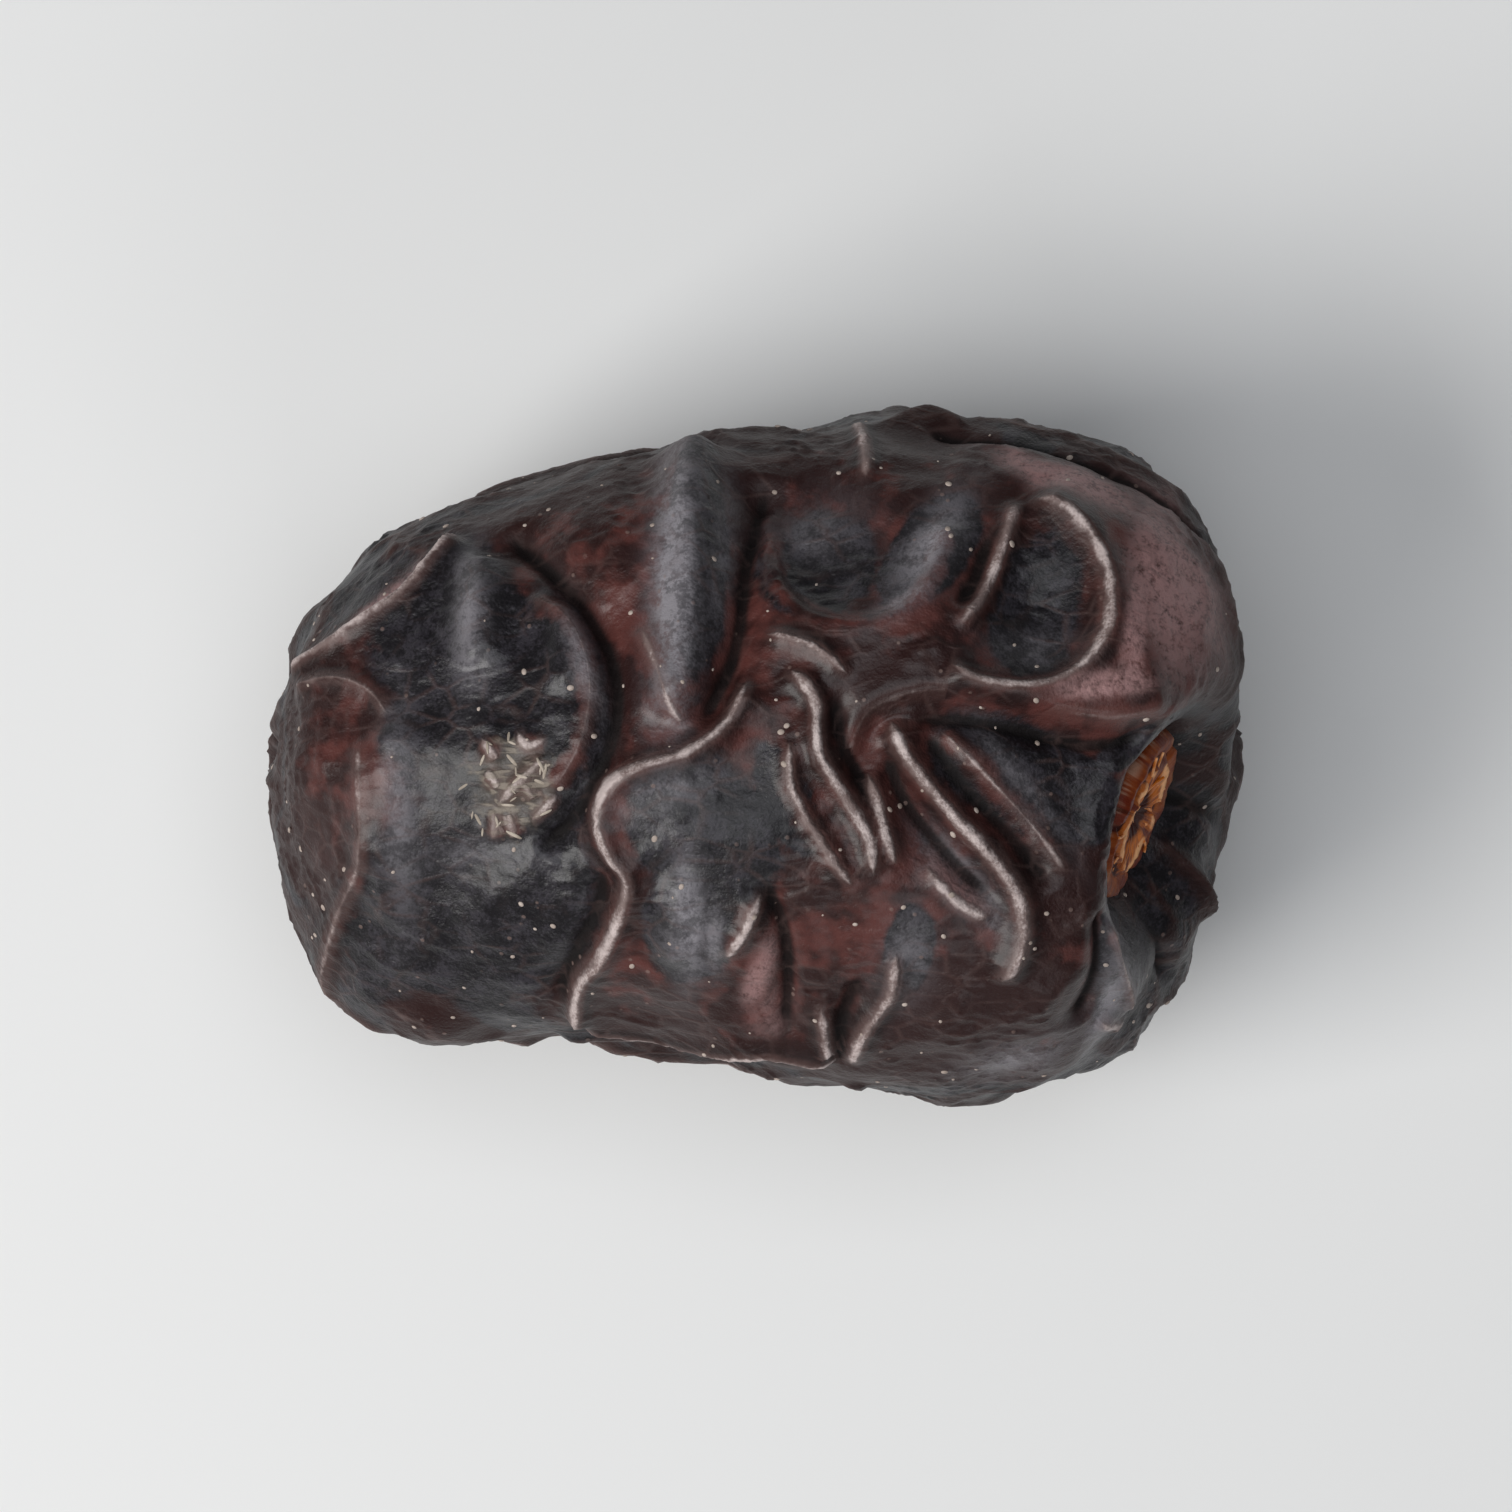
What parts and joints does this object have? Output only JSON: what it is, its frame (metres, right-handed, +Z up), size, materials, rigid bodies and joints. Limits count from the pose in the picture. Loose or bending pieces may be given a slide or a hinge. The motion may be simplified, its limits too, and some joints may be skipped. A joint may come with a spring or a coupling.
{
  "type": "ajwa date",
  "caption": "Soft dried Ajwa date lying on its side: a blunt, near-black, deeply wrinkled fruit with a woody calyx base in the hollow of its stem end.",
  "frame": {"origin": "middle of the flat spot the date lies on, under the middle of its bounding box", "axes": "+X along the date towards its stem end, +Y across it, +Z up from the surface it lies on"},
  "size_m": [0.03, 0.0214, 0.0196],
  "materials": {
    "date_skin": "dried fruit skin, near-black brown, satin with waxy highlights",
    "calyx_wood": "dry woody fibre, amber brown"
  },
  "bodies": {
    "root": {"date_fruit": "date_skin", "calyx_base": "calyx_wood"}
  },
  "joints": []
}
